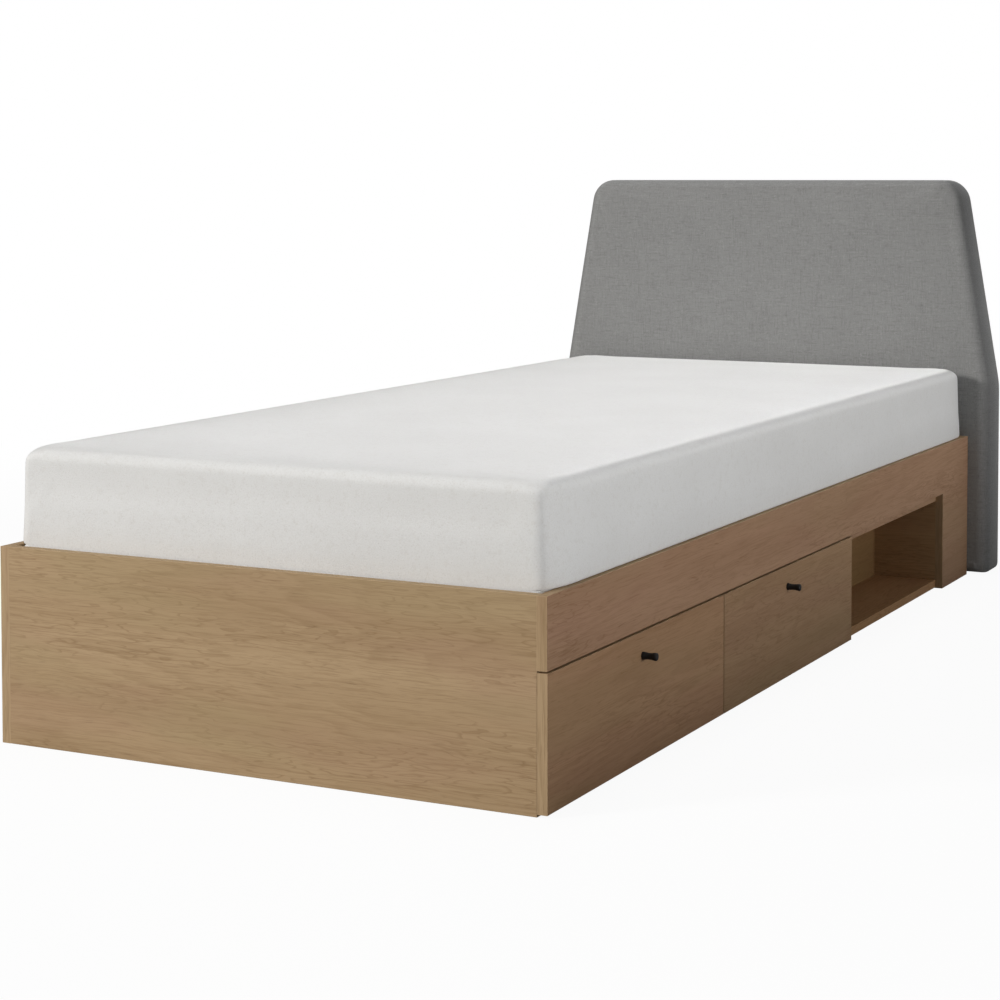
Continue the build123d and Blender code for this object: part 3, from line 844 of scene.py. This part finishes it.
def staple(shape, middle, along):
    """A bent flat wire: a crown that lies on the cloth, with both legs going in."""
    out = Vector((0, 1, 0))
    foot, knee, crown = out * LEG, out * WIRE_BEND, along * (HALF_CROWN - WIRE_BEND)
    reach = along * HALF_CROWN
    path = [-reach - foot, -reach - knee, -crown, Vector(), crown, reach - knee, reach - foot]
    aside = along.cross(out)
    rings = []
    for k, spot in enumerate(path):
        ahead = (path[min(k + 1, len(path) - 1)] - path[max(k - 1, 0)]).normalized()
        flat = ahead.cross(aside)
        ring = []
        for j in range(6):
            angle = math.pi / 3 * j
            around = aside * math.cos(angle) * 1.5 + flat * math.sin(angle)
            ring.append(shape.verts.new(middle + spot + around * WIRE_RADIUS))
        rings.append(ring)
    for first, second in zip(rings, rings[1:]):
        for j in range(6):
            m = (j + 1) % 6
            shape.faces.new((first[j], first[m], second[m], second[j]))
    for ring in (rings[0][::-1], rings[-1]):
        shape.faces.new(ring)


shape = bmesh.new()
chance = random.Random(7)
inset, on_flap, pitch, margin = 0.017, board_back + flap + 0.0004, 0.052, 0.05
run = head_z - foot_z - 2 * margin
count = round(run / pitch)
for k in range(count + 1):
    z = foot_z + margin + run * k / count
    for sign in (-1, 1):
        x = sign * (headboard_half(z) - inset + chance.uniform(-0.001, 0.001))
        slope = -lean if z > kink_z else 0.0
        tilt = Vector((sign * slope + chance.uniform(-0.06, 0.06), 0, 1)).normalized()
        staple(shape, Vector((x, on_flap, z + chance.uniform(-0.003, 0.003))), tilt)
for level, width in ((foot_z + inset, half_foot - 0.06), (head_z - inset, half_top - 0.07)):
    count = round(2 * width / pitch)
    for k in range(count + 1):
        x = -width + 2 * width * k / count + chance.uniform(-0.003, 0.003)
        tilt = Vector((1, 0, chance.uniform(-0.06, 0.06))).normalized()
        staple(shape, Vector((x, on_flap, level + chance.uniform(-0.001, 0.001))), tilt)
bmesh.ops.recalc_face_normals(shape, faces=shape.faces)
staples = mesh_object("headboard_staples", shape, zinc)
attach(staples, "bed")


# ---------------------------------------------------------------- knobs
def revolved(name, centre, profile, material, around=48):
    """A body turned about an axis along X; profile is (x, radius) from the back to the front."""
    shape = bmesh.new()
    rings = []
    for x, radius in profile:
        ring = []
        for k in range(around):
            angle = 2 * math.pi * k / around
            y, z = centre.y + radius * math.cos(angle), centre.z + radius * math.sin(angle)
            ring.append(shape.verts.new((x, y, z)))
        rings.append(ring)
    for low, high in zip(rings, rings[1:]):
        for i in range(around):
            j = (i + 1) % around
            shape.faces.new((low[i], low[j], high[j], high[i]))
    for ring in (rings[0][::-1], rings[-1]):
        shape.faces.new(ring)
    bmesh.ops.recalc_face_normals(shape, faces=shape.faces)
    return mesh_object(name, shape, material)


def knob_profile(back, front, radius):
    """Flat foot, pulled-in waist and a flat face with a rounded edge."""
    waist = radius * 0.82
    start, edge = back + 0.0010, front - 0.0030
    points = [(back, radius * 0.94), (back + 0.0004, radius * 0.99), (start, radius)]
    for k in range(1, 20):
        t = k / 20
        dip = math.sin(math.pi * t) ** 1.35
        points.append((start + (edge - start) * t, radius + (waist - radius) * dip))
    points += [(edge, radius), (edge + 0.0008, radius), (edge + 0.0018, radius * 0.975)]
    points += [(edge + 0.0024, radius * 0.93), (edge + 0.0028, radius * 0.84), (front, radius * 0.68)]
    points += [(front, radius * 0.3)]
    return points


for n in (1, 2):
    low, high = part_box(f"drawer_{n}_knob")
    centre = (low + high) / 2
    profile = knob_profile(low.x, high.x, (high.y - low.y) / 2)
    knob = revolved(f"drawer_{n}_knob_turned", centre, profile, black)
    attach(knob, f"drawer_{n}")
    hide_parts(f"drawer_{n}_knob")


# ---------------------------------------------------------------- camera, floor and light
# the camera is fitted to the photo's vanishing points and the frame's edges
camera_data = bpy.data.cameras.new("camera")
camera_data.sensor_width = 36.0
camera_data.lens = 79.7185
camera_data.shift_x, camera_data.shift_y = -0.067, -0.22
camera_data.clip_end = 100.0
camera = bpy.data.objects.new("camera", camera_data)
camera.location = (1.78661, -3.72851, 0.86700)
camera.rotation_euler = (math.radians(90 - 2.6339), 0, math.radians(25.9284))
bpy.context.scene.collection.objects.link(camera)
bpy.context.scene.camera = camera


def floor_material():
    """Pale grey for the light, near white for the camera, and so with only a faint shadow."""
    net = Net("pale_floor")
    seen = net.node("ShaderNodeLightPath")
    plain = net.node("ShaderNodeBsdfDiffuse")
    speck = net.noise(net.place.outputs["Object"], (9, 9, 9), detail=2.0)
    pale = net.mix(speck, (0.42, 0.42, 0.415), (0.45, 0.45, 0.445))
    net.put(plain.inputs["Color"], net.mix(seen.outputs["Is Camera Ray"], pale, (1.0, 1.0, 1.0)))
    x, y, _ = net.split(net.place.outputs["Object"])
    away = net.vector("LENGTH", net.join(x, y, 0.0))
    glow = net.node("ShaderNodeEmission")
    glow.inputs["Color"].default_value = (1, 1, 1, 1)
    glow.inputs["Strength"].default_value = 1.0
    white = net.span(away, 1.3, 3.6, 0.94, 1.0)
    # the floor inside and under the bed stays as dark as it is
    middle = (board_low.y + core_low.y) / 2
    off_middle = net.math("ABSOLUTE", net.math("SUBTRACT", y, middle))
    past_side = net.math("SUBTRACT", net.math("ABSOLUTE", x), board_high.x - 0.008)
    past_end = net.math("SUBTRACT", off_middle, core_low.y - middle - 0.008)
    outside = net.span(net.math("MAXIMUM", past_side, past_end), -0.006, 0.006)
    share = net.math("MULTIPLY", seen.outputs["Is Camera Ray"], net.math("MULTIPLY", white, outside))
    both = net.node("ShaderNodeMixShader")
    net.put(both.inputs[0], share)
    net.tree.links.new(plain.outputs[0], both.inputs[1])
    net.tree.links.new(glow.outputs[0], both.inputs[2])
    out = net.node("ShaderNodeOutputMaterial")
    net.tree.links.new(both.outputs[0], out.inputs[0])
    return net.material


shape = bmesh.new()
bmesh.ops.create_grid(shape, x_segments=8, y_segments=8, size=30.0)
floor = mesh_object("floor", shape, floor_material(), smooth=False)

# the world lights the bed softly, and is white for the camera and partly white in mirrors
WORLD_LIGHT, MIRROR_SHARE = 0.188, 0.35
world = bpy.data.worlds.new("studio")
bpy.context.scene.world = world
world.use_nodes = True
tree = world.node_tree
tree.nodes.clear()
light_path = tree.nodes.new("ShaderNodeLightPath")
shades = []
for color, strength in (((0.97, 0.985, 1.0, 1), WORLD_LIGHT), ((1, 1, 1, 1), 1.0)):
    shade = tree.nodes.new("ShaderNodeBackground")
    shade.inputs["Color"].default_value = color
    shade.inputs["Strength"].default_value = strength
    shades.append(shade)
either = tree.nodes.new("ShaderNodeMath")
either.operation = "MAXIMUM"
tree.links.new(light_path.outputs["Is Camera Ray"], either.inputs[0])
tree.links.new(light_path.outputs["Is Transmission Ray"], either.inputs[1])
share = tree.nodes.new("ShaderNodeMath")
share.operation = "MULTIPLY_ADD"
share.inputs[1].default_value = MIRROR_SHARE
tree.links.new(light_path.outputs["Is Glossy Ray"], share.inputs[0])
tree.links.new(either.outputs[0], share.inputs[2])
mixed = tree.nodes.new("ShaderNodeMixShader")
tree.links.new(share.outputs[0], mixed.inputs[0])
tree.links.new(shades[0].outputs[0], mixed.inputs[1])
tree.links.new(shades[1].outputs[0], mixed.inputs[2])
world_out = tree.nodes.new("ShaderNodeOutputWorld")
tree.links.new(mixed.outputs[0], world_out.inputs[0])


def softbox(name, place, target, size, power, color=(1, 1, 1), spread=180):
    """A rectangular lamp of so many watts that looks at the target, spread in degrees."""
    data = bpy.data.lights.new(name, "AREA")
    data.shape = "RECTANGLE"
    data.size, data.size_y = size
    data.energy = power
    data.color = color
    data.spread = math.radians(spread)
    lamp = bpy.data.objects.new(name, data)
    lamp.location = place
    lamp.rotation_euler = (Vector(target) - Vector(place)).to_track_quat("-Z", "Y").to_euler()
    bpy.context.scene.collection.objects.link(lamp)


WARM_WHITE = (1.0, 0.985, 0.96)
softbox("key", (-7.4, -9.0, 4.3), (0, 0, 0.35), size=(2.2, 2.2), power=1030, color=WARM_WHITE)
softbox("side", (4.3, -0.40, 0.75), (0.45, -0.25, 0.50), size=(3.1, 0.25), power=3.5, spread=20)
softbox("above", (0.0, -0.10, 4.0), (0.0, -0.10, 0.0), size=(0.8, 2.6), power=12.2, spread=100)

bpy.context.scene.view_settings.view_transform = "Standard"
